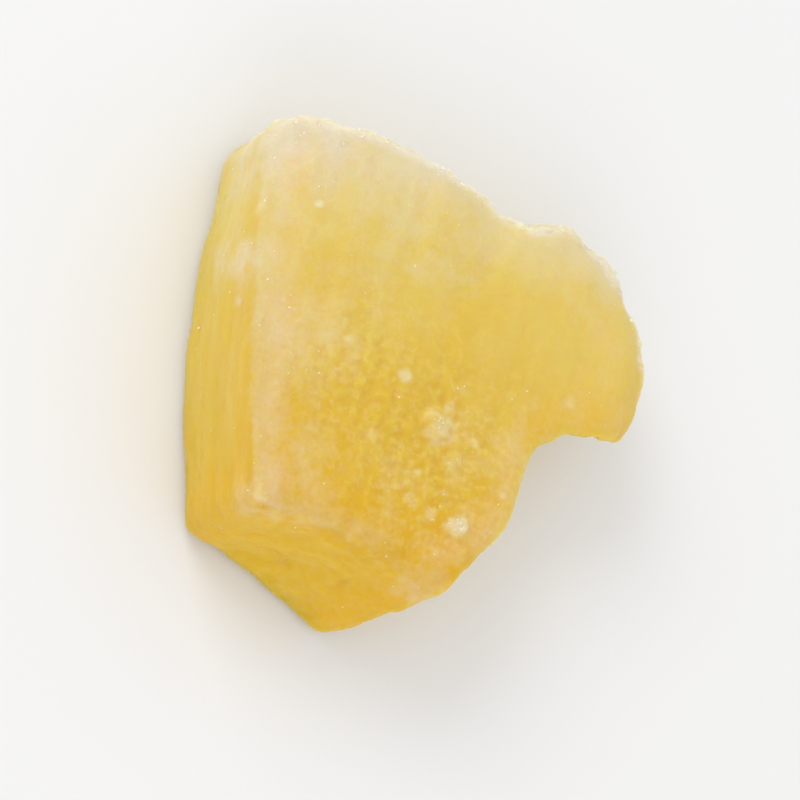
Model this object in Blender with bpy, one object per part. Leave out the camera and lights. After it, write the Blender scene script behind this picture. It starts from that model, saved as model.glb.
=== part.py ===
"""A wedge of dried, candied pineapple, lying on the face that dried against the tray.

It was cut from a thick ring of the fruit. Two knife cuts run from the core towards the rind, the rim
keeps the scallops that the eyes left, and the core end is a slanting cut. Drying has rounded every
edge, raised the fibres a little, left lumps of sugar on the upper face and curled the underside, so
that the wedge stands on three spots.

Row frame: metres, +Z up, +Y from the core end to the rim, origin under the middle of the wedge on the
surface it lies on. Ring angles are in degrees, clockwise from +Y as seen from above, about the axis of
the fruit. Radii are from that axis.
"""

from collections import namedtuple
from math import atan2, cos, degrees, exp, hypot, radians, sin

import bmesh
import bpy
from mathutils import Vector, noise
from mathutils.bvhtree import BVHTree

Eye = namedtuple("Eye", "middle half_width radius fall")
Spot = namedtuple("Spot", "angle radius")
Flute = namedtuple("Flute", "rim_angle inner_angle inner_radius depth")
Lump = namedtuple("Lump", "angle radius width")

MM = 0.001

# The ring that the wedge was cut from
HALF_ANGLE = 16.2  # about half of the angle between the cuts
CORE_RADIUS = 30.5 * MM  # to the core end, at the upper face
RIM_RADIUS = 58.4 * MM  # to the outermost point of the rim
THICKNESS = 10.4 * MM
THICKER_AT_CORE = 0.9 * MM
THICKER_AT_LEFT = 0.5 * MM
CROWN = 0.35 * MM

# Each eye of the fruit leaves one scallop, which falls by its fall at half its width from its middle
EYES = (
    Eye(middle=-6.6, half_width=13.6, radius=RIM_RADIUS, fall=3.6 * MM),
    Eye(middle=9.8, half_width=10.6, radius=57.7 * MM, fall=5.2 * MM),
)
EYE_SLANT = 1.5  # degrees that the eyes turn through, from the upper face to the underside
EYE_GROOVE_AT, EYE_GROOVE_WIDTH, EYE_GROOVE_DEPTH = 6.3, 1.3, 0.6 * MM
RIM_UNDERCUT = 0.3 * MM

# The right cut curves in at the core end, and has a waist below the lobe that the second eye hangs over it
RIGHT_CUT_AT_CORE, RIGHT_CUT_BEYOND = 14.8, 17.0
RIGHT_CUT_STRAIGHT_FROM = 37.0 * MM
WAIST_AT, WAIST_WIDTH, WAIST_DEPTH = 41.6 * MM, 2.2 * MM, 1.4  # the depth in degrees
LOBE_OVERHANG = 5.6  # degrees
LOBE_FROM, LOBE_TO = 42.5 * MM, 51.4 * MM
LOBE_UNDERCUT = 4.5 * MM
RIGHT_LEAN_AT_CORE, RIGHT_LEAN_AT_RIM = 8.0, 4.0  # degrees that the cut leans in below

# The left cut turns a little towards the rim. Below, it spreads, has a shallow step and curves in at the rim
LEFT_CUT_AT_CORE, LEFT_CUT_AT_RIM = -15.7, -14.5
LEFT_CUT_TURNS_FROM, LEFT_CUT_TURNS_TO = 41.0 * MM, 54.0 * MM
LEFT_SPREAD = 0.4 * MM
STEP_DEPTH, STEP_FROM, STEP_TO = 0.35 * MM, 43.0 * MM, 45.0 * MM
TUCK_DEPTH, TUCK_FROM = 1.2 * MM, 47.0 * MM

# The core end slopes out towards the underside, more so at its right
CORE_SKEW = 0.7 * MM
CORE_SLOPE_LEFT, CORE_SLOPE_RIGHT = 0.9 * MM, 4.0 * MM

# How far drying has rounded the edges
CUT_EDGE = 1.2 * MM
RIM_EDGE = 1.7 * MM
LOBE_EDGE = 3.2 * MM

# Relief left by drying: the size of a feature, and how far it rises or sinks
BUMP_SIZE, BUMP_RISE = 7.0 * MM, 0.34 * MM
DENT_SIZE, DENT_RISE = 2.6 * MM, 0.12 * MM
FIBRE_PITCH, FIBRE_LENGTH, FIBRE_RISE = 1.9 * MM, 14.0 * MM, 0.13 * MM
TRAY_PRESS = 0.16 * MM  # the underside's bumps were pressed flat by this much

# The spots that the wedge stands on, and how far the underside has curled up between them
STANDS_ON = (
    Spot(angle=-9.8, radius=52.0 * MM),
    Spot(angle=9.0, radius=51.5 * MM),
    Spot(angle=-5.0, radius=32.5 * MM),
)
CURL, SPOT_WIDTH = 0.25 * MM, 5.0 * MM

# Soft grooves of the upper face, which run in from the rim
FLUTES = (
    Flute(rim_angle=-1.2, inner_angle=-4.0, inner_radius=42.0 * MM, depth=0.34 * MM),
    Flute(rim_angle=6.6, inner_angle=0.5, inner_radius=44.0 * MM, depth=0.50 * MM),
    Flute(rim_angle=-11.5, inner_angle=-12.5, inner_radius=46.0 * MM, depth=0.20 * MM),
)
FLUTE_WIDTH = 0.9 * MM
FLUTE_ONSET = 0.7  # the share of a flute's length over which it deepens

# Lumps of sugar on the upper face
SUGAR_LUMPS = (
    Lump(angle=-0.3, radius=42.4 * MM, width=1.1 * MM),
    Lump(angle=4.7, radius=40.1 * MM, width=2.3 * MM),
    Lump(angle=5.5, radius=43.0 * MM, width=0.9 * MM),
    Lump(angle=10.8, radius=34.5 * MM, width=1.9 * MM),
    Lump(angle=7.1, radius=34.2 * MM, width=1.0 * MM),
    Lump(angle=4.0, radius=34.2 * MM, width=0.8 * MM),
    Lump(angle=7.1, radius=38.1 * MM, width=1.1 * MM),
    Lump(angle=15.2, radius=46.7 * MM, width=0.8 * MM),
)
SUGAR_FLATNESS = 0.42  # a lump's height over its width
SUGAR_SUNK = 0.35  # the share of that height that is in the flesh
SUGAR_UNEVEN = 0.35  # how far a lump's radius varies, as a share of it
SUGAR_BULGES = 2.4  # how many such bulges fit across a lump

# The block of cells that is shaped into the wedge: across, along and up
CELLS = (38, 38, 12)
SHARP_ANGLE = 40.0  # an edge over this is shaded sharp

MEAN_RADIUS = (CORE_RADIUS + RIM_RADIUS) / 2.0
AXIS = Vector((0.0, -MEAN_RADIUS, 0.0))
HALF_BLOCK = Vector((MEAN_RADIUS * radians(HALF_ANGLE), (RIM_RADIUS - CORE_RADIUS) / 2.0, THICKNESS / 2.0))


def blend(start, end, share):
    """start where share is 0 or less, end where it is 1 or more, and a smooth step between."""
    share = min(max(share, 0.0), 1.0)
    return start + (end - start) * share * share * (3.0 - 2.0 * share)


def bell(offset, width):
    """1 at no offset, falling smoothly to nothing some widths away."""
    return exp(-((offset / width) ** 2))


def to_share(coordinate):
    """A block coordinate, from -1 to 1, as a share from 0 to 1."""
    return (coordinate + 1.0) / 2.0


def ring_point(angle, radius, height):
    """The place in the row frame of a point that is given in the ring."""
    turn = radians(angle)
    return AXIS + Vector((radius * sin(turn), radius * cos(turn), height))


def ring_place(point):
    """The ring angle and the radius of a point in the row frame."""
    offset = point - AXIS
    return degrees(atan2(offset.x, offset.y)), hypot(offset.x, offset.y)


def rim_at(angle, below):
    """The radius of the scalloped rim. below runs from 0 at the upper face to 1 at the underside."""
    angle -= EYE_SLANT * below
    scallop = max(eye.radius - eye.fall * ((angle - eye.middle) / eye.half_width) ** 2 for eye in EYES)
    groove = EYE_GROOVE_DEPTH * bell(angle - EYE_GROOVE_AT, EYE_GROOVE_WIDTH)
    return scallop - groove - RIM_UNDERCUT * below**2


def core_end_at(across, below):
    """The radius of the core end, which slopes out below."""
    slope = blend(CORE_SLOPE_LEFT, CORE_SLOPE_RIGHT, to_share(across))
    return CORE_RADIUS - CORE_SKEW * across - slope * below


def left_cut_at(radius, below):
    """The ring angle of the left cut."""
    turned = (radius - LEFT_CUT_TURNS_FROM) / (LEFT_CUT_TURNS_TO - LEFT_CUT_TURNS_FROM)
    cut = blend(LEFT_CUT_AT_CORE, LEFT_CUT_AT_RIM, turned)
    step = blend(0.0, STEP_DEPTH, (radius - STEP_FROM) / (STEP_TO - STEP_FROM))
    tuck = blend(0.0, TUCK_DEPTH, (radius - TUCK_FROM) / (RIM_RADIUS - TUCK_FROM))
    return cut + degrees(below * (step + tuck - LEFT_SPREAD) / radius)


def right_cut_at(radius, below):
    """The ring angle of the right cut, which leans in below."""
    from_core = radius - CORE_RADIUS
    cut = blend(RIGHT_CUT_AT_CORE, RIGHT_CUT_BEYOND, from_core / (RIGHT_CUT_STRAIGHT_FROM - CORE_RADIUS))
    lean = blend(RIGHT_LEAN_AT_CORE, RIGHT_LEAN_AT_RIM, from_core / (RIM_RADIUS - CORE_RADIUS))
    past_waist = radius - LOBE_UNDERCUT * below - LOBE_FROM
    lobe = blend(0.0, LOBE_OVERHANG, past_waist / (LOBE_TO - LOBE_FROM))
    return cut + lobe - lean * below - WAIST_DEPTH * bell(radius - WAIST_AT, WAIST_WIDTH)


def height_at(across, along):
    """The height of the upper face."""
    crown = CROWN * (1.0 - across**2) * (1.0 - along**2)
    return THICKNESS - THICKER_AT_CORE * along - THICKER_AT_LEFT * across + crown


def edge_radius(across, along):
    """How round the edges are here: sharpest along the cuts, softest at the lobe."""
    near_rim = blend(CUT_EDGE, RIM_EDGE, along)
    at_lobe = blend(0.0, 1.0, to_share(across)) * blend(0.0, 1.0, along)
    return near_rim + (LOBE_EDGE - near_rim) * at_lobe


def rounded(block):
    """Moves a point of the sharp block onto the round-edged one. Both run from -1 to 1 on each axis."""
    radius = edge_radius(block.x, block.y)
    place = Vector(part * half for part, half in zip(block, HALF_BLOCK))
    middle = Vector(min(max(part, radius - half), half - radius) for part, half in zip(place, HALF_BLOCK))
    place = middle + (place - middle).normalized() * radius
    return Vector(part / half for part, half in zip(place, HALF_BLOCK))


def wedge_point(block):
    """Bends a point of the round-edged block into the wedge's sector of the ring."""
    across, along, up = rounded(block)
    below = 1.0 - to_share(up)
    inner = core_end_at(across, below)
    outer = rim_at(across * HALF_ANGLE, below)
    radius = inner + (outer - inner) * to_share(along)
    left, right = left_cut_at(radius, below), right_cut_at(radius, below)
    angle = left + (right - left) * to_share(across)
    # The cuts have turned the point a little, so it takes the rim's radius there
    radius += blend(0.0, rim_at(angle, below) - outer, to_share(along))
    return ring_point(angle, radius, height_at(across, along) * to_share(up))


def flute_depth(angle, radius):
    """How deep the soft grooves of the upper face are here."""
    depth = 0.0
    for flute in FLUTES:
        share = (radius - flute.inner_radius) / (RIM_RADIUS - flute.inner_radius)
        middle = flute.inner_angle + (flute.rim_angle - flute.inner_angle) * share
        aside = radians(angle - middle) * radius
        depth += blend(0.0, flute.depth, share / FLUTE_ONSET) * bell(aside, FLUTE_WIDTH)
    return depth


def drying_relief(point, normal):
    """How far drying has raised the surface here: broad bumps, small dents, fibres and grooves."""
    angle, radius = ring_place(point)
    round_ring = radians(angle) * MEAN_RADIUS
    fibres = Vector((round_ring / FIBRE_PITCH, radius / FIBRE_LENGTH, point.z / FIBRE_PITCH))
    raised = BUMP_RISE * noise.noise(point / BUMP_SIZE)
    raised += DENT_RISE * noise.noise(point / DENT_SIZE)
    raised += FIBRE_RISE * noise.noise(fibres)
    raised -= flute_depth(angle, radius) * max(normal.z, 0.0)
    return raised + TRAY_PRESS * max(-normal.z, 0.0)


def cell_block():
    """A cube from -1 to 1, cut into CELLS."""
    block = bmesh.new()
    bmesh.ops.create_cube(block, size=2.0)
    for axis, cells in enumerate(CELLS):
        normal = Vector(float(axis == other) for other in range(3))
        for cut in range(1, cells):
            everything = block.verts[:] + block.edges[:] + block.faces[:]
            place = normal * (2.0 * cut / cells - 1.0)
            bmesh.ops.bisect_plane(block, geom=everything, plane_co=place, plane_no=normal)
    return block


def curl_underside(verts):
    """Presses the underside flat and lifts it a little, but for the spots that the wedge stands on."""
    bottom = [vert.co for vert in verts if vert.normal.z < 0.0 and vert.co.z < CURL]
    stands_on = []
    for spot in STANDS_ON:
        place = ring_point(spot.angle, spot.radius, 0.0)
        stands_on.append(min(bottom, key=lambda point: (point.xy - place.xy).length).xy)
    for point in bottom:
        near_spot = max(bell((point.xy - spot).length, SPOT_WIDTH) for spot in stands_on)
        lowest = CURL * (1.0 - near_spot)
        point.z = lowest + max(point.z - lowest, 0.0) * (1.0 - near_spot)


def make_flesh():
    """The wedge without its sugar."""
    flesh = cell_block()
    for vert in flesh.verts:
        vert.co = wedge_point(vert.co)
    bmesh.ops.recalc_face_normals(flesh, faces=flesh.faces)
    flesh.normal_update()
    for vert in flesh.verts:
        vert.co += vert.normal * drying_relief(vert.co, vert.normal)
    curl_underside(flesh.verts)
    return flesh


def make_sugar_lump(place, normal, width, seed):
    """An uneven flattened ball of sugar, sunk a little into the flesh."""
    lump = bmesh.new()
    bmesh.ops.create_icosphere(lump, subdivisions=2, radius=width / 2.0)
    upright = normal.to_track_quat("Z", "Y")
    height = width * SUGAR_FLATNESS
    for vert in lump.verts:
        bulge = noise.noise(vert.co / width * SUGAR_BULGES + Vector((seed, 0.0, 0.0)))
        vert.co *= 1.0 + SUGAR_UNEVEN * bulge
        vert.co.z = vert.co.z * SUGAR_FLATNESS + height * (0.5 - SUGAR_SUNK)
        vert.co = place + upright @ vert.co
    mesh = bpy.data.meshes.new("sugar_lump")
    lump.to_mesh(mesh)
    lump.free()
    return mesh


def fuse_sugar(wedge, surface):
    """Joins the lumps of sugar to the wedge, which then is one solid."""
    lumps = bpy.data.collections.new("sugar_lumps")
    bpy.context.scene.collection.children.link(lumps)
    for number, lump in enumerate(SUGAR_LUMPS):
        above = ring_point(lump.angle, lump.radius, 2.0 * THICKNESS)
        place, normal, _, _ = surface.ray_cast(above, Vector((0.0, 0.0, -1.0)))
        mesh = make_sugar_lump(place, normal, lump.width, seed=number)
        lumps.objects.link(bpy.data.objects.new(f"sugar_lump_{number}", mesh))
    union = wedge.modifiers.new("fuse_sugar", "BOOLEAN")
    union.operation = "UNION"
    union.solver = "EXACT"
    union.operand_type = "COLLECTION"
    union.collection = lumps
    bpy.context.view_layer.update()
    evaluated = wedge.evaluated_get(bpy.context.evaluated_depsgraph_get())
    fused = bpy.data.meshes.new_from_object(evaluated)
    wedge.modifiers.remove(union)
    wedge.data = fused
    for lump in list(lumps.objects):
        bpy.data.objects.remove(lump)
    bpy.data.collections.remove(lumps)


def dried_fruit_material():
    """Pale golden, waxy, a little translucent."""
    material = bpy.data.materials.new("dried_pineapple")
    material.use_nodes = True
    shader = material.node_tree.nodes["Principled BSDF"]
    shader.inputs["Base Color"].default_value = (0.86, 0.66, 0.22, 1.0)
    shader.inputs["Roughness"].default_value = 0.55
    shader.inputs["Metallic"].default_value = 0.0
    shader.inputs["Subsurface Weight"].default_value = 0.8
    shader.inputs["Subsurface Radius"].default_value = (1.0, 0.7, 0.25)
    shader.inputs["Subsurface Scale"].default_value = 2.5 * MM
    return material


def centre_on_footprint(mesh):
    """Moves the mesh so that the row frame's origin is under its middle."""
    for axis in (0, 1):
        places = [vert.co[axis] for vert in mesh.vertices]
        middle = (min(places) + max(places)) / 2.0
        for vert in mesh.vertices:
            vert.co[axis] -= middle


def main():
    for obj in list(bpy.data.objects):
        bpy.data.objects.remove(obj)
    flesh = make_flesh()
    surface = BVHTree.FromBMesh(flesh)
    mesh = bpy.data.meshes.new("pineapple_wedge")
    flesh.to_mesh(mesh)
    flesh.free()
    wedge = bpy.data.objects.new("pineapple_wedge", mesh)
    bpy.context.scene.collection.objects.link(wedge)
    fuse_sugar(wedge, surface)
    wedge.data.materials.clear()
    wedge.data.materials.append(dried_fruit_material())
    centre_on_footprint(wedge.data)
    wedge.data.shade_smooth()
    wedge.data.set_sharp_from_angle(angle=radians(SHARP_ANGLE))


main()
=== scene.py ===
"""The looks of a dried pineapple wedge: golden, slightly translucent flesh under a bloom of sugar.

The flesh is an even, fine mesh made from the frame's solid, with the fibres, folds, pits and crust that
the solid is too coarse for. A frost value at each point says how much sugar has dried on there. The
material and the loose grains of sugar both follow it.

Ring angles are in degrees, clockwise from +Y as seen from above, about the axis of the fruit. Radii are
from that axis. Places in the ring and the sizes of textures are in millimetres, and other lengths are in
metres. A pair such as FACES_UP is where something begins and where it is complete, and one such as
GROOVE_LENGTHS is the least and the most of what is drawn at random.
"""

from collections import namedtuple
from math import radians

import bpy
import numpy as np
from mathutils import Matrix, Vector, noise


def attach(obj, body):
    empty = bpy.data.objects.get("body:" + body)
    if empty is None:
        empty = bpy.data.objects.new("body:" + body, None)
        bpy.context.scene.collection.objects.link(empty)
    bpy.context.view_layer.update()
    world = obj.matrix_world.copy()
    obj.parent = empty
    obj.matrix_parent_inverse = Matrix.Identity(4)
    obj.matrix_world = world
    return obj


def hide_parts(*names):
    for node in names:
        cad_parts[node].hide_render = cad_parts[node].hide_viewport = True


Patch = namedtuple("Patch", "angle radius height width value")
Lump = namedtuple("Lump", "angle radius width white")

# Smooth noise on the mesh, which swings about its mean. One with a length is stretched along the fibres
Texture = namedtuple("Texture", "size seed swing mean length", defaults=(0.0, None))

# Noise in a material: least up to its low value, and most from its high value on
Layer = namedtuple("Layer", "scale low high least most detail roughness", defaults=(0.0, 1.0, 2.0, 0.5))

# Spots in a material: nothing at their edge and most in their middle. Noise of the warp's scale makes
# them uneven, because it moves them about by up to the reach
Spots = namedtuple("Spots", "scale warp reach edge middle most")

# How much of each of these there is at each point of the flesh, from 0 to 1
Cover = namedtuple("Cover", "edge rim lumps rough fibrous folded grooves")

MM = 0.001
NODE = "pineapple_wedge"

# The ring that the wedge was cut from: its axis in the row frame, and the left cut's ring angles
RING_AXIS = np.array((-2.072, -42.125))
LEFT_CUT_AT_CORE, LEFT_CUT_AT_RIM = -15.7, -14.5
LEFT_CUT_TURNS = (41.0, 54.0)  # radii
TOP_HEIGHT = 10.6

# The flesh's mesh
VOXEL = 0.18 * MM
SMOOTHING_ROUNDS = 40
FORM_ROUNDS = 150  # what these take away is what stands out, such as an edge
EDGE_STANDS_OUT = 0.26 * MM  # how far a full edge does

# Parts of the surface, by the upward or outward share of its normal
FACES_UP = (0.3, 0.8)
SIDE = (0.9, 0.4)
OFF_THE_TOP = (0.93, 0.6)
STEEP = 0.5

# Parts of the surface by place. The left face and the core end show in the photograph
PAST_LEFT_FACE = (-13.5, -8.0)  # ring angles
PAST_CORE_END = (31.0, 34.0)  # radii

# Relief of the whole flesh
FIBRES = Texture(size=1.1, length=8.0, seed=0.0, swing=0.10 * MM)
DENTS = Texture(size=1.1, seed=11.0, swing=0.045 * MM)
CRUMBS = Texture(size=0.40, seed=23.0, swing=0.075 * MM)
CRUMBS_ON_BARE = 0.7  # the share of them where there is no frost
PITS = Texture(size=0.60, seed=31.0, swing=0.15 * MM)
ROUGH_UPPER_FACE = 0.18
ROUGH = (  # the value here is how rough the surface is
    Patch(angle=5.0, radius=38.5, height=10.8, width=5.8, value=1.0),
    Patch(angle=-5.0, radius=41.0, height=10.8, width=4.6, value=0.7),
)

# Relief of the sides
FOLDS = Texture(size=2.8, length=7.0, seed=3.0, swing=0.34 * MM)
RIBS = Texture(size=1.0, length=6.0, seed=4.0, swing=0.16 * MM)
THREADS = Texture(size=0.45, length=5.0, seed=5.0, swing=0.06 * MM)
LEFT_FACE_FIBROUS, CORE_FIBROUS = 0.13, 0.25
LEFT_FACE_FOLDED, CORE_FOLDED = 0.60, 0.55

# Gaps between the fibres of the sides
GROOVES, GROOVE_SEED = 80, 11
GROOVE_LENGTHS, GROOVE_WIDTHS = (1.5 * MM, 5.5 * MM), (0.22 * MM, 0.50 * MM)
GROOVE_TILT, GROOVE_DEPTH = 0.22, 0.23 * MM
FIBRES_END = 0.5  # where less of the radius than this runs along the surface, grooves are upright
RIM_GROOVED, RIM_GROOVE_RADII = 0.4, (53.0, 56.0)

# The rim's knobs and its crust of sugar
RIM_KNOBS = Texture(size=2.0, seed=47.0, swing=0.45 * MM)
KNOBS_FULL_AT = 1.0 / 3.0  # of the crust
RIM_FACES_OUT, RIM_RADII = (0.2, 0.7), (47.0, 51.0)
RIM_BORDER = Texture(size=2.0, seed=67.0, swing=0.35)
RIM_UPPER_EDGE, RIM_FACE = (0.05, 0.45), (-0.6, 0.0)
RIM_EDGE_CRUST, RIM_EDGE_CRUST_LEAST = Texture(size=3.0, seed=71.0, mean=0.65, swing=0.9), 0.2
RIM_FACE_CRUST, RIM_FACE_CRUST_MOST = RIM_KNOBS._replace(mean=0.40, swing=1.8), 0.28  # on the knobs
RIM_CRUST_SIZE, RIM_CRUST_RISE = 0.55, 0.22 * MM
RIM_CRUST_UNEVEN = Texture(size=RIM_CRUST_SIZE, seed=41.0, mean=0.8, swing=0.5)

# Balls of crust
CRUST_LEAST = 0.02  # below this share there are none
BALL_RADIUS = 0.7  # of their size

# Frost: where sugar has dried on
UPPER_FROST, SIDE_FROST, UNDER_FROST = 0.07, 0.01, 0.20
EDGE_FROST, EDGE_FALLOFF = 0.04, 1.5
LEFT_BAND, LEFT_BAND_FROST = (3.2, 1.2), 0.24  # mm from the left cut
HAZE_FROST, HAZE_ANGLES, HAZE_RADII = 0.16, (3.0, -8.0), (32.0, 38.0)
HAZE_STREAKS = Texture(size=1.6, length=8.0, seed=5.0, mean=0.5, swing=1.0)
RIM_BAND_FROST, RIM_BAND_FACES, RIM_BAND_RADII = 0.42, (-0.2, 0.4), (53.5, 58.0)
RIM_FACE_FROST, RIM_FACE_RADII = 0.03, (54.0, 57.0)
HIDDEN_SIDE_FROST = 0.20
HIDDEN_SIDE_MOTTLING = Texture(size=1.3, length=3.5, seed=61.0, mean=0.35, swing=1.3)
LOW_EDGE_FROST, LOW_EDGE_HEIGHTS = 0.18, (7.5, 4.5)
GROOVES_BARE = 0.7
BROKEN_PATCHES = Texture(size=0.8, seed=73.0, mean=1.0, swing=0.6)
BLOTCHES = Texture(size=2.3, seed=0.0, swing=0.10)

# Patches of frost. One with a negative value is bare
PATCHES = (
    Patch(angle=-10.8, radius=43.3, height=10.6, width=2.6, value=0.24),
    Patch(angle=-11.4, radius=57.0, height=10.0, width=2.6, value=0.38),
    Patch(angle=-11.8, radius=31.0, height=10.2, width=2.4, value=0.26),
    Patch(angle=-15.4, radius=32.2, height=10.4, width=1.4, value=0.26),
    Patch(angle=-15.1, radius=48.7, height=5.2, width=1.7, value=0.50),
    Patch(angle=-15.1, radius=47.9, height=8.6, width=1.6, value=0.56),
    Patch(angle=-15.4, radius=45.3, height=8.2, width=0.5, value=0.45),
    Patch(angle=-14.2, radius=55.2, height=5.6, width=2.8, value=0.48),
    Patch(angle=-3.0, radius=55.5, height=10.0, width=3.4, value=0.16),
    Patch(angle=-5.5, radius=50.5, height=10.6, width=3.0, value=0.12),
    Patch(angle=0.0, radius=51.6, height=10.6, width=3.0, value=0.14),
    Patch(angle=-9.2, radius=34.4, height=10.6, width=2.2, value=0.26),
    Patch(angle=-7.0, radius=30.6, height=10.4, width=1.6, value=0.22),
    Patch(angle=-3.5, radius=30.8, height=10.4, width=1.5, value=0.12),
    Patch(angle=-0.5, radius=31.6, height=10.4, width=1.6, value=0.20),
    Patch(angle=3.0, radius=30.6, height=10.4, width=1.5, value=0.14),
    Patch(angle=-13.2, radius=34.4, height=11.0, width=1.8, value=-0.10),
    Patch(angle=-16.2, radius=34.0, height=3.3, width=2.6, value=-0.12),
    Patch(angle=10.0, radius=29.6, height=9.2, width=1.7, value=0.34),
    Patch(angle=13.4, radius=35.6, height=10.6, width=1.7, value=0.22),
    Patch(angle=10.4, radius=32.9, height=10.8, width=1.3, value=0.20),
    Patch(angle=14.6, radius=39.5, height=10.3, width=2.2, value=0.22),
    Patch(angle=11.0, radius=41.5, height=10.3, width=2.2, value=0.16),
    Patch(angle=-14.3, radius=54.0, height=9.2, width=1.6, value=0.28),
    Patch(angle=-9.5, radius=43.9, height=10.9, width=1.8, value=0.12),
    Patch(angle=0.2, radius=36.2, height=11.3, width=1.5, value=0.14),
    Patch(angle=2.8, radius=51.3, height=9.7, width=2.4, value=0.12),
    Patch(angle=13.6, radius=54.3, height=9.4, width=2.2, value=0.12),
    Patch(angle=-15.2, radius=31.2, height=8.7, width=1.3, value=0.16),
    Patch(angle=-3.6, radius=39.4, height=10.8, width=3.0, value=-0.14),
    Patch(angle=7.0, radius=46.4, height=10.4, width=4.2, value=-0.20),
    Patch(angle=-5.0, radius=29.0, height=6.0, width=4.5, value=-0.40),
)

# Lumps of sugar that have dried on. Few are quite white
SUGAR_LUMPS = (
    Lump(angle=-0.3, radius=42.3, width=1.2, white=0.42),
    Lump(angle=4.7, radius=40.0, width=2.7, white=0.34),
    Lump(angle=4.9, radius=41.6, width=0.9, white=0.36),
    Lump(angle=8.6, radius=40.2, width=1.0, white=0.20),
    Lump(angle=5.5, radius=43.0, width=1.2, white=0.16),
    Lump(angle=10.4, radius=34.5, width=1.8, white=0.56),
    Lump(angle=7.0, radius=34.3, width=1.2, white=0.28),
    Lump(angle=4.2, radius=34.5, width=1.2, white=0.24),
    Lump(angle=7.1, radius=38.1, width=1.4, white=0.16),
    Lump(angle=12.3, radius=45.0, width=1.2, white=0.14),
    Lump(angle=9.9, radius=44.4, width=1.0, white=0.12),
    Lump(angle=15.2, radius=46.7, width=1.0, white=0.20),
    Lump(angle=-2.1, radius=37.7, width=1.1, white=0.18),
    Lump(angle=3.9, radius=36.4, width=0.7, white=0.30),
    Lump(angle=13.6, radius=38.1, width=0.6, white=0.45),
    Lump(angle=-6.1, radius=43.4, width=0.9, white=0.14),
    Lump(angle=-10.0, radius=52.2, width=0.7, white=0.60),
)
LUMP_FADES_FROM, LUMP_FADES_TO = 0.30, 1.20  # in lump radii
LUMP_CRUST_SIZE, LUMP_CRUST_RISE = 0.45, 0.10 * MM
LUMP_OUTLINE = Texture(size=LUMP_CRUST_SIZE, seed=0.0, swing=0.40)
LUMP_FROST = 0.55

# Loose grains of sugar: uneven blocks
GRAINS, GRAIN_SEED = 800, 7
GRAIN_MEDIAN, GRAIN_SPREAD, GRAIN_LARGEST = 0.10 * MM, 0.38, 0.28 * MM
GRAIN_PROPORTIONS, GRAIN_UNEVEN = (0.6, 1.0), 0.13
GRAIN_SUNK = 0.25  # of its size
BARE_DENSITY, FROST_DENSITY, CRUST_DENSITY = 0.011, 0.25, 1.6
CRUST_GRAINS_LARGER = 0.5
BLOCK_CORNERS = [(x, y, z) for x in (-0.5, 0.5) for y in (-0.5, 0.5) for z in (-0.5, 0.5)]
BLOCK_FACES = ((0, 1, 3, 2), (4, 6, 7, 5), (0, 4, 5, 1), (2, 3, 7, 6), (0, 2, 6, 4), (1, 5, 7, 3))

# The flesh's colours, linear, by radius: pale at the rim and deep gold at the core. This is partly the
# flesh's own tone
# # and partly painted light: paler where the light falls most, and a deeper gold where light has only
# shone through
FLESH_AND_PAINTED_LIGHT_BY_RADIUS = (
    (31.0, (0.73, 0.45, 0.008)),
    (38.0, (0.72, 0.48, 0.038)),
    (45.0, (0.74, 0.52, 0.070)),
    (52.0, (0.76, 0.58, 0.130)),
    (57.0, (0.76, 0.63, 0.270)),
)
PALE_FIBRE_COLOUR = (0.82, 0.67, 0.26, 1.0)
DEEP_COLOUR = (0.75, 0.47, 0.04, 1.0)
CRUMB_COLOUR = (0.82, 0.62, 0.22, 1.0)
FROST_COLOUR = (0.79, 0.72, 0.56, 1.0)
CRUST_COLOUR = (0.86, 0.79, 0.57, 1.0)
BLACK, WHITE = (0.0, 0.0, 0.0, 1.0), (1.0, 1.0, 1.0, 1.0)

# Layers along the fibres. Their scales are per mm
WANDER = Layer(scale=0.16, low=0.3, high=0.7, least=-2.5, most=2.5)  # mm of radius
# Partly the sides' own tone and partly painted light: the deeper gold of light that has shone through
# the flesh
SIDES_DEEPER_TONE_AND_PAINTED_LIGHT = 7.0  # mm of radius
STREAKS = Layer(scale=(0.9, 0.13, 0.9), low=0.42, high=0.75, most=0.16, detail=1.0)
STREAK_RADII = (32.0, 37.0)
STRANDS = Layer(scale=(1.7, 0.22, 1.7), low=0.40, high=0.68, most=0.42)
STRAND_FALLOFF = 0.75
FIBRE_LINES_SCALE, FIBRE_LINES_DETAIL = (2.4, 0.3, 2.4), 3.0
FIBRE_LINES_STRENGTH, FIBRE_LINES_DEPTH = 0.15, 0.08 * MM

# Layers over the surface. Their scales are per metre
MOTTLING = Layer(scale=300.0, low=0.45, high=0.70)
MOTTLED_FACES, MOTTLED_SIDES, MOTTLED_FIBROUS = 0.14, 0.50, 0.6
CELLS = Spots(scale=1300.0, warp=1300.0, reach=0.5 * MM, edge=0.40, middle=0.12, most=0.26)
CELLS_COME = Layer(scale=500.0, low=0.36, high=0.60)
FLECKS = Layer(scale=2100.0, low=0.50, high=0.66, most=0.34)
CRUMBS_BY_ROUGHNESS = (0.02, 0.70)
POWDER = Layer(scale=2600.0, low=0.3, high=0.7, least=-0.075, most=0.075, detail=4.0, roughness=0.6)
PATCHY = Layer(scale=600.0, low=0.3, high=0.7, least=-0.10, most=0.10, detail=3.0)
BLOOM_BY_FROST = (0.08, 0.95)
BLOOM_HIDES = 0.92
FROST_SPECKS = Spots(scale=1300.0, warp=2500.0, reach=0.25 * MM, edge=0.26, middle=0.06, most=1.0)
SPECKS_BY_FROST, SPECKS_MOST = (0.05, 0.5), 0.7
CRUST_HIDES = Layer(scale=1900.0, low=0.38, high=0.62, least=0.45, most=0.95, detail=3.0, roughness=0.6)
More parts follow.
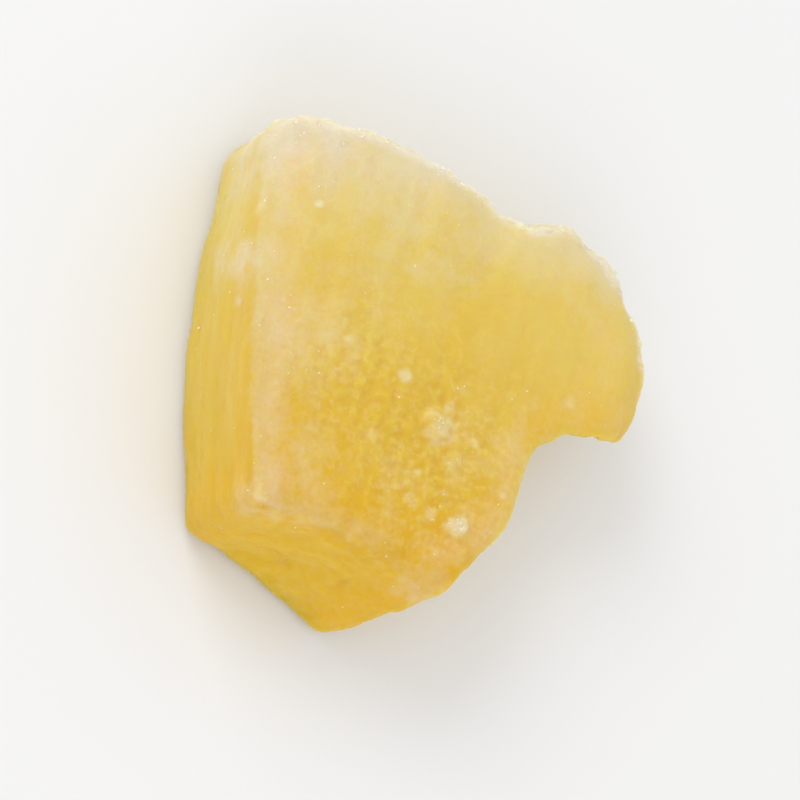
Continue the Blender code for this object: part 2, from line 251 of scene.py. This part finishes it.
# The second of these is painted shade: how far the edges that stand out are darkened, so that they look
# no brighter than the faces beside them
GROOVES_DEEPEN, EDGES_PAINTED_SHADE = 0.40, 0.14
POWDER_BUMP_SCALE, POWDER_BUMP_DETAIL, POWDER_BUMP_ROUGHNESS = 4200.0, 3.0, 0.7
POWDER_BUMP_STRENGTH, POWDER_BUMP_DEPTH, POWDER_BUMP_ON_BARE = 0.75, 0.10 * MM, 0.30

# The flesh's shader
BARE_ROUGHNESS, BLOOM_ROUGHNESS = 0.45, 0.85
SCATTER_BY_COLOUR, SCATTER_REACH = (1.0, 0.62, 0.20), 4.5 * MM
FLESH_IOR = 1.37

# Where a mix node has its colours. It has more sockets of the same names, for other kinds of value
MIX_FIRST, MIX_SECOND, MIX_RESULT = 6, 7, 2

# Sugar grains
GRAIN_COLOURS = ((0.90, 0.84, 0.66, 1.0), (0.87, 0.79, 0.54, 1.0))
GRAIN_TINT = Layer(scale=900.0, low=0.35, high=0.65)
GRAIN_ROUGHNESS = Layer(scale=3000.0, low=0.3, high=0.7, least=0.25, most=0.50)

# The floor
FLOOR_COLOURS = ((0.86, 0.86, 0.86, 1.0), (0.85, 0.85, 0.85, 1.0))
FLOOR_SHADE = Layer(scale=30.0, low=0.3, high=0.7)
FLOOR_ROUGHNESS = Layer(scale=900.0, low=0.3, high=0.7, least=0.70, most=0.80)
FLOOR_REACH = 3.0
FLOOR_DROP = 0.01 * MM  # so that the floor and the wedge's feet don't lie in one plane

# The camera stands where the photograph's does
VIEW_AZIMUTH, VIEW_ELEVATION, VIEW_ROLL = -54.6, 64.5, 72.9
LENS, CAMERA_DISTANCE, CLIP_START = 400.0, 0.596, 0.01
LOOKS_AT = Vector((0.0, 0.0, 5.5)) * MM

KEY_FROM, KEY_DISTANCE = Vector((-0.567, 0.513, 0.641)), 0.5
KEY_POWER, KEY_SIZE = 0.68, 0.25
FILL_FROM, FILL_DISTANCE = Vector((-0.01, -0.83, 0.54)), 0.5
FILL_POWER, FILL_SIZE = 0.38, 0.4
SKY_STRENGTH = 0.84


def smooth_step(start, end, values):
    """0 where values are on start's side, 1 on end's side, and a smooth step between."""
    share = np.clip((values - start) / (end - start), 0.0, 1.0)
    return share * share * (3.0 - 2.0 * share)


def ring_places(points):
    """Ring angle, radius and height of each point, in degrees and mm."""
    offset = points[:, :2] / MM - RING_AXIS
    angle = np.degrees(np.arctan2(offset[:, 0], offset[:, 1]))
    return angle, np.hypot(offset[:, 0], offset[:, 1]), points[:, 2] / MM


def ring_point(angle, radius, height):
    """The place in the row frame, in metres, of a place in the ring."""
    turn = radians(angle)
    x, y = RING_AXIS + radius * np.array((np.sin(turn), np.cos(turn)))
    return Vector((x, y, height)) * MM


def fibre_places(points):
    """Each point as arc, radius and height in mm. Fibres run along the radius."""
    angle, radius, height = ring_places(points)
    return np.column_stack((np.radians(angle) * radius, radius, height))


def from_left_cut(angle, radius):
    """How far each place is from the left cut, along the ring, in mm."""
    turned = smooth_step(*LEFT_CUT_TURNS, radius)
    left_cut = LEFT_CUT_AT_CORE + (LEFT_CUT_AT_RIM - LEFT_CUT_AT_CORE) * turned
    return np.radians(angle - left_cut) * radius


def texture_at(points, texture):
    """The texture's value at each point."""
    if texture.length is None:
        places = points / (texture.size * MM)
    else:
        places = fibre_places(points) / np.array((texture.size, texture.length, texture.size))
    seed = texture.seed
    values = [noise.noise((x + seed, y - seed, z + seed)) for x, y, z in places.tolist()]
    return texture.mean + texture.swing * np.array(values)


def read_vectors(collection, name):
    """One vector for each item of a mesh's collection."""
    values = np.empty(len(collection) * 3, dtype=np.float32)
    collection.foreach_get(name, values)
    return values.reshape(-1, 3).astype(float)


def read_points(mesh):
    return read_vectors(mesh.vertices, "co")


def read_normals(mesh):
    return read_vectors(mesh.vertex_normals, "vector")


def read_edges(mesh):
    values = np.empty(len(mesh.edges) * 2, dtype=np.int32)
    mesh.edges.foreach_get("vertices", values)
    return values.reshape(-1, 2)


def read_triangles(mesh):
    mesh.calc_loop_triangles()
    values = np.empty(len(mesh.loop_triangles) * 3, dtype=np.int32)
    mesh.loop_triangles.foreach_get("vertices", values)
    return values.reshape(-1, 3)


def write_points(mesh, points):
    mesh.vertices.foreach_set("co", points.astype(np.float32).ravel())
    mesh.update()


def smoothed(points, edges, rounds):
    """The points after each has moved half way to the mean of its neighbours, so many times."""
    start, end = edges.T
    count = len(points)
    neighbours = np.bincount(start, minlength=count) + np.bincount(end, minlength=count)
    points = points.copy()
    for _ in range(rounds):
        for axis in range(3):
            values = points[:, axis]
            total = np.bincount(start, values[end], count) + np.bincount(end, values[start], count)
            points[:, axis] = (values + total / neighbours) / 2.0
    return points


def even_mesh(node):
    """The node's form in small even cells, without the facets of the CAD mesh."""
    source = bpy.data.objects.new("flesh_source", node.data.copy())
    bpy.context.scene.collection.objects.link(source)
    remesh = source.modifiers.new("even_cells", "REMESH")
    remesh.mode = "VOXEL"
    remesh.voxel_size = VOXEL
    bpy.context.view_layer.update()
    evaluated = source.evaluated_get(bpy.context.evaluated_depsgraph_get())
    mesh = bpy.data.meshes.new_from_object(evaluated)
    bpy.data.objects.remove(source)
    write_points(mesh, smoothed(read_points(mesh), read_edges(mesh), SMOOTHING_ROUNDS))
    return mesh


def stands_out(mesh):
    """How far each point stands out from the broad form. It is most at the edges."""
    points, normals = read_points(mesh), read_normals(mesh)
    form = smoothed(points, read_edges(mesh), FORM_ROUNDS)
    return np.einsum("ij,ij->i", points - form, normals)


def patches_at(points, patches):
    """What the patches add up to at each point. A patch fades out over its width."""
    total = np.zeros(len(points))
    for patch in patches:
        middle = np.array(ring_point(patch.angle, patch.radius, patch.height))
        away = np.linalg.norm(points - middle, axis=1) / (patch.width * MM)
        total += patch.value * np.exp(-(away**2))
    return total


def lumps_at(points):
    """How white the lumps of sugar are at each point. Each fades out over an uneven outline."""
    white = np.zeros(len(points))
    for lump in SUGAR_LUMPS:
        middle = np.array(ring_point(lump.angle, lump.radius, TOP_HEIGHT))
        aside = np.linalg.norm(points[:, :2] - middle[:2], axis=1) / (lump.width * MM / 2.0)
        near = np.flatnonzero((aside < 2.0 * LUMP_FADES_TO) & (points[:, 2] > middle[2] / 2.0))
        uneven = texture_at(points[near], LUMP_OUTLINE._replace(seed=lump.angle))
        share = smooth_step(LUMP_FADES_TO, LUMP_FADES_FROM, aside[near] + uneven)
        white[near] = np.maximum(white[near], share * lump.white)
    return white


def rim_crust(points, normals):
    """How crusted the rim is: most on its upper edge, and in blotches on its face."""
    offset = points[:, :2] - RING_AXIS * MM
    distance = np.linalg.norm(offset, axis=1)
    outward = np.einsum("ij,ij->i", offset, normals[:, :2]) / distance
    upward = normals[:, 2]
    outward += texture_at(points, RIM_BORDER)
    on_rim = smooth_step(*RIM_FACES_OUT, outward) * smooth_step(*RIM_RADII, distance / MM)
    upper_edge = smooth_step(*RIM_UPPER_EDGE, upward)
    upper_edge *= np.clip(texture_at(points, RIM_EDGE_CRUST), RIM_EDGE_CRUST_LEAST, 1.0)
    face = RIM_FACE_CRUST_MOST * smooth_step(*RIM_FACE, upward)
    face *= np.clip(texture_at(points, RIM_FACE_CRUST), 0.0, 1.0)
    crust = on_rim * smooth_step(*OFF_THE_TOP, upward) * np.maximum(upper_edge, face)
    return crust * np.clip(texture_at(points, RIM_CRUST_UNEVEN), 0.0, 1.0)


def side_share(points, normals, left_face, core_end):
    """0 on the broad faces, 1 on the hidden sides, and the given shares on the sides that show."""
    angle, radius, _ = ring_places(points)
    by_angle = left_face + (1.0 - left_face) * smooth_step(*PAST_LEFT_FACE, angle)
    by_radius = core_end + (1.0 - core_end) * smooth_step(*PAST_CORE_END, radius)
    return smooth_step(*SIDE, np.abs(normals[:, 2])) * np.minimum(by_angle, by_radius)


def groove_direction(point, normal, tilt):
    """Along the surface and the fibres, turned by the tilt, or upright where the fibres end."""
    along = np.append(point[:2] - RING_AXIS * MM, 0.0)
    along /= np.linalg.norm(along)
    along -= normal * (along @ normal)
    if np.linalg.norm(along) < FIBRES_END:
        along = np.array((0.0, 0.0, 1.0)) - normal * normal[2]
    along /= np.linalg.norm(along)
    return np.cos(tilt) * along + np.sin(tilt) * np.cross(normal, along)


def grooves_at(points, normals, fibrous):
    """How deep in a groove each point is, from 0 to 1. The grooves lie at random on the sides."""
    random = np.random.default_rng(GROOVE_SEED)
    low, high = points.min(axis=0), points.max(axis=0)
    side = np.flatnonzero(np.abs(normals[:, 2]) < STEEP)
    depth = np.zeros(len(points))
    for _ in range(GROOVES):
        near = random.uniform(low, high)
        half, width = random.uniform(*GROOVE_LENGTHS) / 2.0, random.uniform(*GROOVE_WIDTHS)
        tilt = random.uniform(-GROOVE_TILT, GROOVE_TILT)
        middle = side[np.argmin(np.linalg.norm(points[side] - near, axis=1))]
        normal = normals[middle] / np.linalg.norm(normals[middle])
        offset = points - points[middle]
        forward = offset @ groove_direction(points[middle], normal, tilt)
        aside_squared = np.maximum(np.einsum("ij,ij->i", offset, offset) - forward**2, 0.0)
        here = np.maximum(1.0 - (forward / half) ** 2, 0.0)
        here *= np.maximum(1.0 - aside_squared / width**2, 0.0)
        depth = np.maximum(depth, here)
    at_rim = smooth_step(*RIM_GROOVE_RADII, ring_places(points)[1])
    return depth * fibrous * (1.0 - (1.0 - RIM_GROOVED) * at_rim)


def frost_amount(points, normals, cover):
    """How much sugar has dried on at each point, from 0 to 1."""
    angle, radius, height = ring_places(points)
    upward = smooth_step(*FACES_UP, normals[:, 2])
    downward = smooth_step(*FACES_UP, -normals[:, 2])
    frost = UPPER_FROST * upward + UNDER_FROST * downward + SIDE_FROST * (1.0 - upward - downward)
    frost += EDGE_FROST * cover.edge**EDGE_FALLOFF
    frost += LEFT_BAND_FROST * upward * smooth_step(*LEFT_BAND, from_left_cut(angle, radius))

    hazy = upward * smooth_step(*HAZE_ANGLES, angle) * smooth_step(*HAZE_RADII, radius)
    frost += HAZE_FROST * hazy * np.clip(texture_at(points, HAZE_STREAKS), 0.0, 1.0)

    rim_band = smooth_step(*RIM_BAND_RADII, radius) * smooth_step(*RIM_BAND_FACES, normals[:, 2])
    frost += RIM_BAND_FROST * rim_band
    frost += RIM_FACE_FROST * smooth_step(*RIM_FACE_RADII, radius) * (1.0 - upward)

    hidden = smooth_step(*PAST_LEFT_FACE, angle) * smooth_step(*PAST_CORE_END, radius)
    mottled = np.clip(texture_at(points, HIDDEN_SIDE_MOTTLING), 0.0, 1.0)
    frost += HIDDEN_SIDE_FROST * hidden * (1.0 - upward) * mottled
    frost += LOW_EDGE_FROST * hidden * cover.edge * smooth_step(*LOW_EDGE_HEIGHTS, height)
    frost *= 1.0 - GROOVES_BARE * cover.grooves

    frost += cover.rim + LUMP_FROST * cover.lumps
    frost += patches_at(points, PATCHES) * texture_at(points, BROKEN_PATCHES)
    frost += texture_at(points, BLOTCHES)
    return np.clip(frost, 0.0, 1.0)


def crust_at(points, share, size):
    """Close round bumps, as high as the share at each point."""
    height = np.zeros(len(points))
    for number in np.flatnonzero(share > CRUST_LEAST):
        distances, _ = noise.voronoi(points[number] / (size * MM))
        height[number] = share[number] * max(1.0 - (distances[0] / BALL_RADIUS) ** 2, 0.0)
    return height


def relief(points, frost, cover):
    """How far each point rises, in all that the solid is too coarse for."""
    rise = texture_at(points, FIBRES)
    rise += cover.folded * texture_at(points, FOLDS)
    rise += cover.fibrous * (texture_at(points, RIBS) + texture_at(points, THREADS))
    rise += texture_at(points, RIM_KNOBS) * np.clip(cover.rim / KNOBS_FULL_AT, 0.0, 1.0)
    rise -= GROOVE_DEPTH * cover.grooves
    rise += texture_at(points, DENTS)
    rise += texture_at(points, CRUMBS) * (CRUMBS_ON_BARE + (1.0 - CRUMBS_ON_BARE) * frost)
    rise += texture_at(points, PITS) * cover.rough
    rise += RIM_CRUST_RISE * crust_at(points, cover.rim, RIM_CRUST_SIZE)
    return rise + LUMP_CRUST_RISE * crust_at(points, np.sqrt(cover.lumps), LUMP_CRUST_SIZE)


def make_cover(mesh, points, normals):
    """How much of each thing but frost there is at each point."""
    upward = smooth_step(*FACES_UP, normals[:, 2])
    fibrous = side_share(points, normals, LEFT_FACE_FIBROUS, CORE_FIBROUS)
    return Cover(
        edge=np.clip(stands_out(mesh) / EDGE_STANDS_OUT, 0.0, 1.0),
        rim=rim_crust(points, normals),
        lumps=lumps_at(points),
        rough=np.clip(ROUGH_UPPER_FACE * upward + patches_at(points, ROUGH), 0.0, 1.0),
        fibrous=fibrous,
        folded=side_share(points, normals, LEFT_FACE_FOLDED, CORE_FOLDED),
        grooves=grooves_at(points, normals, fibrous),
    )


def keep_attribute(mesh, name, kind, values):
    """Keeps values at the mesh's points, for its material."""
    attribute = mesh.attributes.new(name, kind, "POINT")
    field = "vector" if kind == "FLOAT_VECTOR" else "value"
    attribute.data.foreach_set(field, values.astype(np.float32).ravel())


def add_piece(name, mesh, material):
    """A piece of the wedge. It rides on the wedge's body and stands for its node."""
    mesh.name = name
    mesh.materials.clear()
    mesh.materials.append(material)
    piece = bpy.data.objects.new(name, mesh)
    bpy.context.scene.collection.objects.link(piece)
    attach(piece, "root")
    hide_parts(NODE)
    return piece


def make_flesh(node):
    """The wedge itself, with the frost and the crust at each of its points."""
    mesh = even_mesh(node)
    points, normals = read_points(mesh), read_normals(mesh)
    cover = make_cover(mesh, points, normals)
    crust = np.maximum(cover.rim, cover.lumps)
    frost = frost_amount(points, normals, cover)
    keep_attribute(mesh, "fibre_place", "FLOAT_VECTOR", fibre_places(points))
    keep_attribute(mesh, "frost", "FLOAT", frost)
    keep_attribute(mesh, "crust", "FLOAT", crust)
    keep_attribute(mesh, "rough", "FLOAT", cover.rough)
    # Painted shade goes on the edges that stand out, but not where there is crust
    keep_attribute(mesh, "edge", "FLOAT", cover.edge * (1.0 - crust))
    keep_attribute(mesh, "fibrous", "FLOAT", cover.fibrous)
    keep_attribute(mesh, "groove", "FLOAT", cover.grooves)
    points += normals * relief(points, frost, cover)[:, None]
    points[:, 2] = np.maximum(points[:, 2], 0.0)
    write_points(mesh, points)
    mesh.shade_smooth()
    return add_piece("wedge_flesh", mesh, flesh_material()), frost, crust


def random_turns(random, count):
    """Random rotation matrices, count of them."""
    w, x, y, z = random.normal(size=(4, count))
    length = np.sqrt(w * w + x * x + y * y + z * z)
    w, x, y, z = w / length, x / length, y / length, z / length
    rows = (
        (1 - 2 * (y * y + z * z), 2 * (x * y - w * z), 2 * (x * z + w * y)),
        (2 * (x * y + w * z), 1 - 2 * (x * x + z * z), 2 * (y * z - w * x)),
        (2 * (x * z - w * y), 2 * (y * z + w * x), 1 - 2 * (x * x + y * y)),
    )
    return np.array(rows).transpose(2, 0, 1)


def scattered_places(mesh, density, random):
    """Places in random triangles, and the corners of those. They crowd where it is dense."""
    points, triangles = read_points(mesh), read_triangles(mesh)
    a, b, c = (points[triangles[:, corner]] for corner in range(3))
    area = np.linalg.norm(np.cross(b - a, c - a), axis=1)
    weight = area * density[triangles].mean(axis=1)
    chosen = random.choice(len(triangles), size=GRAINS, p=weight / weight.sum())
    share_b, share_c = random.random((2, GRAINS))
    beyond = share_b + share_c > 1.0
    share_b[beyond], share_c[beyond] = 1.0 - share_b[beyond], 1.0 - share_c[beyond]
    places = a[chosen] + (b - a)[chosen] * share_b[:, None] + (c - a)[chosen] * share_c[:, None]
    return places, triangles[chosen]


def make_grains(flesh, frost, crust):
    """Loose grains of sugar: small uneven blocks, each lying its own way."""
    random = np.random.default_rng(GRAIN_SEED)
    density = BARE_DENSITY + FROST_DENSITY * frost**2 + CRUST_DENSITY * crust
    places, triangles = scattered_places(flesh.data, density, random)
    normals = read_normals(flesh.data)[triangles].mean(axis=1)
    size = GRAIN_MEDIAN * np.exp(GRAIN_SPREAD * random.normal(size=GRAINS))
    size *= 1.0 + CRUST_GRAINS_LARGER * crust[triangles].mean(axis=1)
    size = np.minimum(size, GRAIN_LARGEST)
    corners = np.array(BLOCK_CORNERS) * random.uniform(*GRAIN_PROPORTIONS, size=(GRAINS, 1, 3))
    corners += random.uniform(-GRAIN_UNEVEN, GRAIN_UNEVEN, size=corners.shape)
    corners = np.einsum("nij,nkj->nki", random_turns(random, GRAINS), corners) * size[:, None, None]
    corners += (places - normals * (size * GRAIN_SUNK)[:, None])[:, None]
    corners[:, :, 2] = np.maximum(corners[:, :, 2], 0.0)
    faces = np.array(BLOCK_FACES) + len(BLOCK_CORNERS) * np.arange(GRAINS)[:, None, None]
    mesh = bpy.data.meshes.new("sugar_grains")
    mesh.from_pydata(corners.reshape(-1, 3).tolist(), [], faces.reshape(-1, 4).tolist())
    return add_piece("sugar_grains", mesh, grain_material())


class Nodes:
    """Adds nodes to a material and links them."""

    def __init__(self, name):
        self.material = bpy.data.materials.new(name)
        self.material.use_nodes = True
        self.tree = self.material.node_tree
        self.shader = self.tree.nodes["Principled BSDF"]

    def put(self, socket, value):
        """Links the value to the socket, or sets it there."""
        if isinstance(value, bpy.types.NodeSocket):
            self.tree.links.new(value, socket)
        else:
            socket.default_value = value

    def set(self, **inputs):
        """Sets the shader's own inputs."""
        for name, value in inputs.items():
            self.put(self.shader.inputs[name.replace("_", " ").title()], value)

    def attribute(self, name, output="Fac"):
        node = self.tree.nodes.new("ShaderNodeAttribute")
        node.attribute_name = name
        return node.outputs[output]

    def object_place(self):
        return self.tree.nodes.new("ShaderNodeTexCoord").outputs["Object"]

    def scaled(self, vector, scale):
        node = self.tree.nodes.new("ShaderNodeVectorMath")
        node.operation = "MULTIPLY"
        self.put(node.inputs[0], vector)
        self.put(node.inputs[1], scale)
        return node.outputs[0]

    def separate(self, vector, part):
        node = self.tree.nodes.new("ShaderNodeSeparateXYZ")
        self.put(node.inputs[0], vector)
        return node.outputs[part]

    def noise(self, vector, scale, detail, roughness=0.5):
        """Noise from 0 to 1. The scale is one number, or one for each axis."""
        if isinstance(scale, tuple):
            vector, scale = self.scaled(vector, scale), 1.0
        node = self.tree.nodes.new("ShaderNodeTexNoise")
        self.put(node.inputs["Vector"], vector)
        self.put(node.inputs["Scale"], scale)
        self.put(node.inputs["Detail"], detail)
        self.put(node.inputs["Roughness"], roughness)
        return node.outputs["Fac"]

    def layer(self, vector, layer):
        value = self.noise(vector, layer.scale, layer.detail, layer.roughness)
        return self.span(value, layer.low, layer.high, layer.least, layer.most)

    def warped(self, vector, scale, reach):
        """The vector, moved about by noise of up to the reach."""
        noise_node = self.tree.nodes.new("ShaderNodeTexNoise")
        self.put(noise_node.inputs["Vector"], vector)
        self.put(noise_node.inputs["Scale"], scale)
        node = self.tree.nodes.new("ShaderNodeVectorMath")
        node.operation = "MULTIPLY_ADD"
        self.put(node.inputs[0], noise_node.outputs["Color"])
        self.put(node.inputs[1], (reach, reach, reach))
        self.put(node.inputs[2], vector)
        return node.outputs[0]

    def spots(self, vector, spots):
        node = self.tree.nodes.new("ShaderNodeTexVoronoi")
        self.put(node.inputs["Vector"], self.warped(vector, spots.warp, spots.reach))
        self.put(node.inputs["Scale"], spots.scale)
        return self.span(node.outputs["Distance"], spots.edge, spots.middle, 0.0, spots.most)

    def math(self, operation, first, second):
        node = self.tree.nodes.new("ShaderNodeMath")
        node.operation = operation
        self.put(node.inputs[0], first)
        self.put(node.inputs[1], second)
        return node.outputs[0]

    def span(self, value, start, end, to_start=0.0, to_end=1.0):
        """to_start up to the start, to_end from the end on, and even between."""
        node = self.tree.nodes.new("ShaderNodeMapRange")
        self.put(node.inputs["Value"], value)
        self.put(node.inputs["From Min"], start)
        self.put(node.inputs["From Max"], end)
        self.put(node.inputs["To Min"], to_start)
        self.put(node.inputs["To Max"], to_end)
        return node.outputs["Result"]

    def mix(self, share, first, second):
        """A colour with the given share of the second."""
        node = self.tree.nodes.new("ShaderNodeMix")
        node.data_type = "RGBA"
        self.put(node.inputs["Factor"], share)
        self.put(node.inputs[MIX_FIRST], first)
        self.put(node.inputs[MIX_SECOND], second)
        return node.outputs[MIX_RESULT]

    def ramp(self, value, stops):
        """A colour ramp over stops of place and colour."""
        node = self.tree.nodes.new("ShaderNodeValToRGB")
        elements = node.color_ramp.elements
        first, last = stops[0][0], stops[-1][0]
        for place, _ in stops[1:-1]:
            elements.new((place - first) / (last - first))
        for element, (_, colour) in zip(elements, stops):
            element.color = (*colour, 1.0)
        self.put(node.inputs["Fac"], self.span(value, first, last))
        return node.outputs["Color"]

    def bump(self, height, strength, distance, below=None):
        node = self.tree.nodes.new("ShaderNodeBump")
        self.put(node.inputs["Height"], height)
        self.put(node.inputs["Strength"], strength)
        self.put(node.inputs["Distance"], distance)
        if below is not None:
            self.put(node.inputs["Normal"], below)
        return node.outputs["Normal"]


def flesh_colour(nodes, fibre, place):
    """Golden with pale fibres and mottling. Deeper gold towards the core and on the sides, partly
    painted light.
    """
    radius = nodes.separate(fibre, "Y")
    fibrous = nodes.attribute("fibrous")
    deeper = nodes.math("MULTIPLY", fibrous, SIDES_DEEPER_TONE_AND_PAINTED_LIGHT)
    wander = nodes.math("SUBTRACT", nodes.layer(fibre, WANDER), deeper)
    colour = nodes.ramp(nodes.math("ADD", radius, wander), FLESH_AND_PAINTED_LIGHT_BY_RADIUS)
    streaks = nodes.math("MULTIPLY", nodes.layer(fibre, STREAKS), nodes.span(radius, *STREAK_RADII))
    colour = nodes.mix(streaks, colour, PALE_FIBRE_COLOUR)
    strand_share = nodes.math("POWER", fibrous, STRAND_FALLOFF)
    strands = nodes.math("MULTIPLY", nodes.layer(fibre, STRANDS), strand_share)
    colour = nodes.mix(strands, colour, PALE_FIBRE_COLOUR)
    gaps = nodes.math("MULTIPLY", nodes.attribute("groove"), GROOVES_DEEPEN)
    colour = nodes.mix(gaps, colour, DEEP_COLOUR)
    mottled_share = nodes.span(fibrous, 0.0, MOTTLED_FIBROUS, MOTTLED_FACES, MOTTLED_SIDES)
    mottled = nodes.math("MULTIPLY", nodes.layer(place, MOTTLING), mottled_share)
    return nodes.mix(mottled, colour, DEEP_COLOUR)


def crumbs_amount(nodes, place):
    """How much of the flesh's pale crumbs shows. They are where the surface is rough."""
    cells = nodes.math("MULTIPLY", nodes.spots(place, CELLS), nodes.layer(place, CELLS_COME))
    crumbs = nodes.math("MAXIMUM", cells, nodes.layer(place, FLECKS))
    return nodes.math("MULTIPLY", crumbs, nodes.span(nodes.attribute("rough"), *CRUMBS_BY_ROUGHNESS))


def bloom_amount(nodes, place):
    """How much of the fine sugar shows: powdery, patchy and with specks, as far as there is frost."""
    frost = nodes.attribute("frost")
    bloom = nodes.math("ADD", frost, nodes.layer(place, POWDER))
    bloom = nodes.math("ADD", bloom, nodes.layer(place, PATCHY))
    bloom = nodes.span(bloom, *BLOOM_BY_FROST)
    speck_share = nodes.span(frost, *SPECKS_BY_FROST, 0.0, SPECKS_MOST)
    specks = nodes.math("MULTIPLY", nodes.spots(place, FROST_SPECKS), speck_share)
    return nodes.math("MAXIMUM", bloom, specks)


def flesh_bump(nodes, fibre, place, bloom):
    """Fine lines along the fibres, and the grain of the sugar's bloom over them."""
    lines = nodes.noise(fibre, FIBRE_LINES_SCALE, FIBRE_LINES_DETAIL)
    lines = nodes.bump(lines, FIBRE_LINES_STRENGTH, FIBRE_LINES_DEPTH)
    powder = nodes.noise(place, POWDER_BUMP_SCALE, POWDER_BUMP_DETAIL, POWDER_BUMP_ROUGHNESS)
    powder = nodes.math("MULTIPLY", powder, nodes.span(bloom, 0.0, 1.0, POWDER_BUMP_ON_BARE, 1.0))
    return nodes.bump(powder, POWDER_BUMP_STRENGTH, POWDER_BUMP_DEPTH, below=lines)


def flesh_material():
    """Golden flesh, slightly translucent, under a bloom and a crust of sugar."""
    nodes = Nodes("dried_fruit")
    fibre = nodes.attribute("fibre_place", "Vector")
    place = nodes.object_place()
    bloom = bloom_amount(nodes, place)
    colour = flesh_colour(nodes, fibre, place)
    colour = nodes.mix(crumbs_amount(nodes, place), colour, CRUMB_COLOUR)
    colour = nodes.mix(nodes.math("MULTIPLY", bloom, BLOOM_HIDES), colour, FROST_COLOUR)
    crust = nodes.math("MULTIPLY", nodes.attribute("crust"), nodes.layer(place, CRUST_HIDES))
    colour = nodes.mix(crust, colour, CRUST_COLOUR)
    # Painted shade: the edges that stand out are darkened towards black
    colour = nodes.mix(nodes.math("MULTIPLY", nodes.attribute("edge"), EDGES_PAINTED_SHADE), colour, BLACK)
    nodes.set(
        base_color=colour,
        roughness=nodes.span(bloom, 0.0, 1.0, BARE_ROUGHNESS, BLOOM_ROUGHNESS),
        subsurface_weight=1.0,
        subsurface_radius=SCATTER_BY_COLOUR,
        subsurface_scale=SCATTER_REACH,
        normal=flesh_bump(nodes, fibre, place, bloom),
    )
    nodes.shader.inputs["IOR"].default_value = FLESH_IOR
    return nodes.material


def grain_material():
    """Sugar, nearly white."""
    nodes = Nodes("sugar_grain")
    place = nodes.object_place()
    nodes.set(
        base_color=nodes.mix(nodes.layer(place, GRAIN_TINT), *GRAIN_COLOURS),
        roughness=nodes.layer(place, GRAIN_ROUGHNESS),
    )
    return nodes.material


def floor_material():
    """Plain pale paper."""
    nodes = Nodes("pale_floor")
    place = nodes.object_place()
    nodes.set(
        base_color=nodes.mix(nodes.layer(place, FLOOR_SHADE), *FLOOR_COLOURS),
        roughness=nodes.layer(place, FLOOR_ROUGHNESS),
    )
    return nodes.material


def make_floor():
    """A square floor, a hair below the wedge."""
    square = ((-1.0, -1.0), (1.0, -1.0), (1.0, 1.0), (-1.0, 1.0))
    corners = [(x * FLOOR_REACH, y * FLOOR_REACH, -FLOOR_DROP) for x, y in square]
    mesh = bpy.data.meshes.new("floor")
    mesh.from_pydata(corners, [], [(0, 1, 2, 3)])
    mesh.materials.append(floor_material())
    floor = bpy.data.objects.new("floor", mesh)
    bpy.context.scene.collection.objects.link(floor)


def make_camera():
    """A long lens that looks down on the wedge, rolled so that it lies as in the photograph."""
    data = bpy.data.cameras.new("camera")
    data.lens = LENS
    data.clip_start = CLIP_START
    camera = bpy.data.objects.new("camera", data)
    bpy.context.scene.collection.objects.link(camera)
    turn = Matrix.Rotation(radians(VIEW_AZIMUTH), 4, "Z")
    turn = turn @ Matrix.Rotation(radians(90.0 - VIEW_ELEVATION), 4, "X")
    turn = turn @ Matrix.Rotation(radians(VIEW_ROLL), 4, "Z")
    back = turn.to_3x3() @ Vector((0.0, 0.0, 1.0))
    camera.matrix_world = Matrix.Translation(LOOKS_AT + back * CAMERA_DISTANCE) @ turn
    bpy.context.scene.camera = camera


def make_softbox(name, towards, distance, power, size):
    """A square soft light that stands in the given direction from the wedge."""
    data = bpy.data.lights.new(name, "AREA")
    data.shape = "SQUARE"
    data.size = size
    data.energy = power
    light = bpy.data.objects.new(name, data)
    bpy.context.scene.collection.objects.link(light)
    light.location = LOOKS_AT + towards.normalized() * distance
    light.rotation_mode = "QUATERNION"
    light.rotation_quaternion = towards.to_track_quat("Z", "Y")


def make_lights():
    """Two soft lights under a white sky."""
    make_softbox("key", KEY_FROM, KEY_DISTANCE, KEY_POWER, KEY_SIZE)
    make_softbox("fill", FILL_FROM, FILL_DISTANCE, FILL_POWER, FILL_SIZE)
    sky = bpy.data.worlds.new("sky")
    sky.use_nodes = True
    background = sky.node_tree.nodes["Background"]
    background.inputs["Color"].default_value = WHITE
    background.inputs["Strength"].default_value = SKY_STRENGTH
    bpy.context.scene.world = sky
    bpy.context.scene.view_settings.view_transform = "Standard"


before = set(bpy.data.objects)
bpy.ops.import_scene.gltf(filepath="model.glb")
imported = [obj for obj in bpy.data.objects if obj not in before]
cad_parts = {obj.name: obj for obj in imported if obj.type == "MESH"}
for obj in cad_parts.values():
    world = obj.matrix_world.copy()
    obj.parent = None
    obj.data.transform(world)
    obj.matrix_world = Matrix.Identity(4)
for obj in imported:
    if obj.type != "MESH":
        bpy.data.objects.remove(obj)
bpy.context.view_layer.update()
make_camera()
make_lights()
make_floor()
make_grains(*make_flesh(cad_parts[NODE]))
